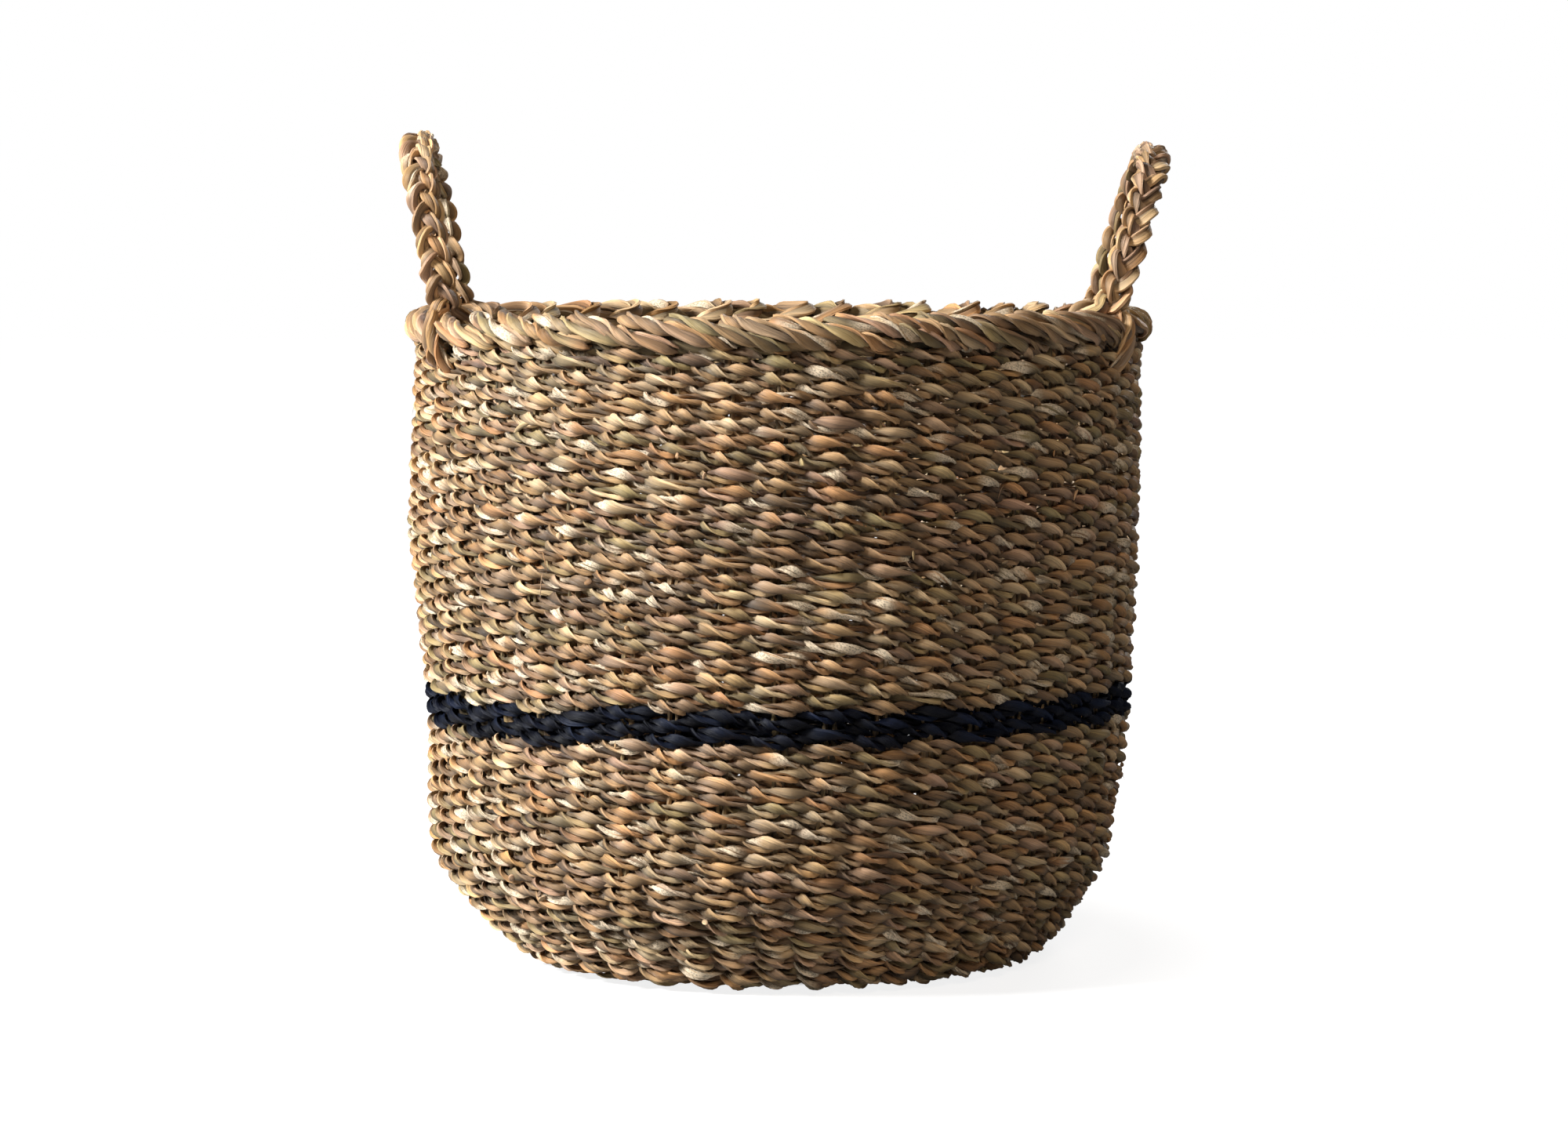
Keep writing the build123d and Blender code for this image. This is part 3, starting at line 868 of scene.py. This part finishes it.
def core_piece(materials, rng):
    """Filler cords inside the border, one over the other on top of the weave."""
    theta = np.linspace(0, 2 * math.pi, CORE_STEPS)
    meshes = []
    for height in CORE_HEIGHTS:
        path = around_axis(MIDDLE_RADIUS, height, theta)
        outward = around_axis(1, 0, theta)
        meshes += cord(path, outward, 0.0, STAKE_COLOURS, rng, CORE_PLIES, BORDER_TWIST,
                       CORE_PLY_OFFSET, CORE_PLY_HALF_WIDTH, CORE_PLY_HALF_DEPTH, 0.0)
    make_piece("border_core_cords", meshes, materials["stake_cord"], "basket", ["border_core"])


# ---- Building the handles ------------------------------------------------------------------
def arch_samples(half_span, rise):
    """Evenly spaced points (y, z) of the arch and its two straight ends, and their tangents."""
    turn = np.linspace(0, math.pi, ARCH_SAMPLES)
    power = 2 / ARCH_EXPONENT
    y = -np.sign(np.cos(turn)) * np.abs(np.cos(turn)) ** power * half_span
    z = np.abs(np.sin(turn)) ** power * rise
    points = np.stack([y, z], -1)
    foot = np.array([[-half_span, PLAIT_FOOT]])
    points = np.concatenate([foot, points, foot * (-1, 1)])
    length = running_length(points)
    even = np.linspace(0, length[-1], int(PLAIT_TURNS * PLAIT_STEPS_PER_TURN) + 1)
    position = np.stack([np.interp(even, length, points[:, i]) for i in (0, 1)], -1)
    return position, unit(np.gradient(position, axis=0))


def tail_path(end_point, side, order, inward):
    """From a plait's end down one face of the border and into the wall."""
    angle = math.atan2(end_point[1], end_point[0])
    face = -1 if inward else 1
    reach = BORDER_BOX[1][0] - MIDDLE_RADIUS + (0 if inward else TAIL_CLEARANCE_OUTSIDE)
    stations = [(reach - inset, drop) for inset, drop in TAIL_STATIONS] + [TAIL_END]
    points = []
    for number, (away, drop) in enumerate(stations, start=1):
        radius = MIDDLE_RADIUS + face * away
        turned = angle + TAIL_SPREAD * order * side * number
        height = BORDER_TOP_Z - drop
        points.append((radius * math.cos(turned), radius * math.sin(turned), height))
    return points


def smooth_path(points, count):
    """Even points on a Catmull-Rom curve through some points."""
    points = np.array(points)
    before = 2 * points[:1] - points[1:2]
    after = 2 * points[-1:] - points[-2:-1]
    padded = np.concatenate([before, points, after])
    curve = []
    for i in range(len(points) - 1):
        a, b, c, d = padded[i:i + 4]
        t = np.linspace(0, 1, SMOOTHING_STEPS, endpoint=False)[:, None]
        curve.append(0.5 * (2 * b + (c - a) * t + (2 * a - 5 * b + 4 * c - d) * t**2
                            + (3 * b - a - 3 * c + d) * t**3))
    curve = np.concatenate(curve + [points[-1:]])
    length = running_length(curve)
    even = np.linspace(0, length[-1], count)
    return np.stack([np.interp(even, length, curve[:, i]) for i in range(3)], -1)


def handle_rise(side_name, hinge):
    """Length of the arch's rise in its own leaning plane, and the angle of its lean."""
    boxes = [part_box(f"{side_name}_plait_strand_{letter}") for letter in STRANDS]
    top = max(box[1][2] for box in boxes)
    reach = max(abs(box[i][0]) for box in boxes for i in (0, 1))
    cord_radius = PLAIT_PLY_OFFSET + PLAIT_PLY_HALF_DEPTH
    rise_z = top - hinge.z - PLAIT_DIP - cord_radius
    rise_x = reach - abs(hinge.x) - PLAIT_SWING - cord_radius
    return math.hypot(rise_x, rise_z), math.atan2(rise_x, rise_z)


def strand_path(order, hinge, axes, position, tangent):
    """One strand: tail, plait and tail.  It swings across the plait and dips through it."""
    flat, sideways, up = axes
    share = np.linspace(0, 1, len(position))
    phase = 2 * math.pi * (PLAIT_TURNS * share + order / len(STRANDS))
    swing = PLAIT_SWING * np.sin(phase)
    dip = PLAIT_DIP * np.sin(2 * phase)
    y = position[:, 0] - dip * tangent[:, 1]
    z = position[:, 1] + dip * tangent[:, 0]
    path = np.array(hinge) + np.outer(swing, flat) + np.outer(y, sideways) + np.outer(z, up)
    first = tail_path(path[0], -1, order - 1, swing[0] < TAIL_INWARD_SWING)
    last = tail_path(path[-1], 1, order - 1, swing[-1] < TAIL_INWARD_SWING)
    return smooth_path(first[::-1] + list(path[::2]) + last, PLAIT_POINTS)


def strand_nodes(side_name, letter):
    """The first strand also stands for the frame's feet and tails."""
    nodes = [f"{side_name}_plait_strand_{letter}"]
    if letter == STRANDS[0]:
        nodes += [f"{side_name}_{foot}_{kind}" for foot in ("front", "back")
                  for kind in ("foot", "tails")]
    return nodes


def handle_pieces(materials, rng):
    """Two handles of three plaited cords, whose ends bend at the hinge line."""
    for joint in frame["joints"]:
        hinge = Vector(joint["pos_m"])
        azimuth = math.atan2(hinge.y, hinge.x)
        side_name = joint["child"].split("_")[0]
        rise, lean = handle_rise(side_name, hinge)
        outward = Vector((math.cos(azimuth), math.sin(azimuth), 0))
        sideways = Vector((-math.sin(azimuth), math.cos(azimuth), 0))
        up = outward * math.sin(lean) + Vector((0, 0, math.cos(lean)))
        flat = outward * math.cos(lean) - Vector((0, 0, math.sin(lean)))
        half_span = math.hypot(hinge.x, hinge.y) * math.tan(FOOT_ANGLE)
        position, tangent = arch_samples(half_span, rise)
        for order, letter in enumerate(STRANDS):
            path = strand_path(order, hinge, (flat, sideways, up), position, tangent)
            normal = np.outer(np.ones(PLAIT_POINTS), flat)
            twist = rng.uniform(*PLAIT_TWIST_START)
            meshes = cord(path, normal, twist, NATURAL, rng, PLAIT_PLIES, PLAIT_TWIST,
                          PLAIT_PLY_OFFSET, PLAIT_PLY_HALF_WIDTH, PLAIT_PLY_HALF_DEPTH,
                          PLAIT_PITH)
            piece = make_piece(f"{side_name}_plait_cord_{letter}", meshes,
                               materials["plait_seagrass"], None,
                               strand_nodes(side_name, letter))
            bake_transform(piece)


# ---- Floor, light and camera ---------------------------------------------------------------
def camera():
    data = bpy.data.cameras.new("camera")
    data.sensor_width = SENSOR_MM
    data.lens = LENS_MM
    view = bpy.data.objects.new("camera", data)
    view.location = (CAMERA_SHIFT, -CAMERA_DISTANCE, CAMERA_HEIGHT)
    view.rotation_euler = (math.pi / 2 - CAMERA_PITCH, 0, 0)
    bpy.context.collection.objects.link(view)
    bpy.context.scene.camera = view


def area_light(name, place, size, power, colour):
    data = bpy.data.lights.new(name, "AREA")
    data.shape = "DISK"
    data.size = size
    data.energy = power
    data.color = colour
    lamp = bpy.data.objects.new(name, data)
    lamp.location = place
    aim = Vector(LIGHT_TARGET) - Vector(place)
    lamp.rotation_euler = aim.to_track_quat("-Z", "Y").to_euler()
    bpy.context.collection.objects.link(lamp)


def world_light():
    """White to the camera, dim to the object, so that the key light shapes it."""
    world = bpy.data.worlds.new("studio")
    bpy.context.scene.world = world
    world.use_nodes = True
    tree = world.node_tree
    background = tree.nodes["Background"]
    ray = tree.nodes.new("ShaderNodeLightPath")
    strength = ramp_node(tree, ray.outputs["Is Camera Ray"], 0, 1, WORLD_STRENGTH, 1.0)
    tree.links.new(strength, background.inputs["Strength"])
    background.inputs["Color"].default_value = (1, 1, 1, 1)


def floor_glow(tree):
    """Brightness of the floor: full to the camera, with painted shade under the basket, dim
    elsewhere.
    """
    place = tree.nodes.new("ShaderNodeTexCoord")
    away = tree.nodes.new("ShaderNodeVectorMath")
    away.operation = "LENGTH"
    tree.links.new(place.outputs["Object"], away.inputs[0])
    distance = away.outputs["Value"]
    camera_ray = tree.nodes.new("ShaderNodeLightPath").outputs["Is Camera Ray"]
    # painted shade: the floor gives no glow under the basket
    clear = ramp_node(tree, distance, *FLOOR_DARK_RADII, 0.0, 1.0)
    brightness = ramp_node(tree, distance, *FLOOR_GLOW_RADII, *FLOOR_GLOW)
    lit = math_node(tree, "MULTIPLY", camera_ray, clear)
    seen = math_node(tree, "MULTIPLY", lit, brightness)
    least = tree.nodes.new("ShaderNodeValue").outputs[0]
    least.default_value = FLOOR_BOUNCE
    return math_node(tree, "MAXIMUM", seen, least)


def floor_material():
    material = bpy.data.materials.new("floor")
    material.use_nodes = True
    tree = material.node_tree
    tree.nodes.remove(tree.nodes["Principled BSDF"])
    grey = (FLOOR_GREY, FLOOR_GREY, FLOOR_GREY, 1)
    diffuse = new_node(tree, "ShaderNodeBsdfDiffuse", Color=grey)
    glow = new_node(tree, "ShaderNodeEmission", Color=(1, 1, 1, 1))
    tree.links.new(floor_glow(tree), glow.inputs["Strength"])
    total = tree.nodes.new("ShaderNodeAddShader")
    tree.links.new(diffuse.outputs[0], total.inputs[0])
    tree.links.new(glow.outputs[0], total.inputs[1])
    tree.links.new(total.outputs[0], tree.nodes["Material Output"].inputs["Surface"])
    return material


def floor():
    """A pale floor that the camera sees as almost white, with a faint soft shadow."""
    size = FLOOR_HALF_SIZE
    data = bpy.data.meshes.new("floor")
    data.from_pydata([(-size, -size, 0), (size, -size, 0), (size, size, 0), (-size, size, 0)],
                     [], [(0, 1, 2, 3)])
    plane = bpy.data.objects.new("floor", data)
    bpy.context.collection.objects.link(plane)
    plane.location.z = -FLOOR_DROP
    data.materials.append(floor_material())


def studio():
    for light in LIGHTS:
        area_light(*light)
    world_light()
    floor()
    camera()
    bpy.context.scene.view_settings.view_transform = "Standard"


# ---- The scene -----------------------------------------------------------------------------
rng = np.random.default_rng(RNG_SEED)
materials = {
    "natural_seagrass": seagrass("natural_seagrass"),
    "navy_seagrass": seagrass("navy_seagrass", 0.7, (0.4, 0.7), shine=0.2, sheen=0.0),
    "stake_cord": seagrass("stake_cord"),
    "border_seagrass": seagrass("border_seagrass"),
    "plait_seagrass": seagrass("plait_seagrass"),
}
weave_pieces(materials, rng)
centre_piece(materials, rng)
stake_pieces(materials, rng)
loose_ends(materials, rng)
border_piece(materials, rng)
core_piece(materials, rng)
handle_pieces(materials, rng)
studio()
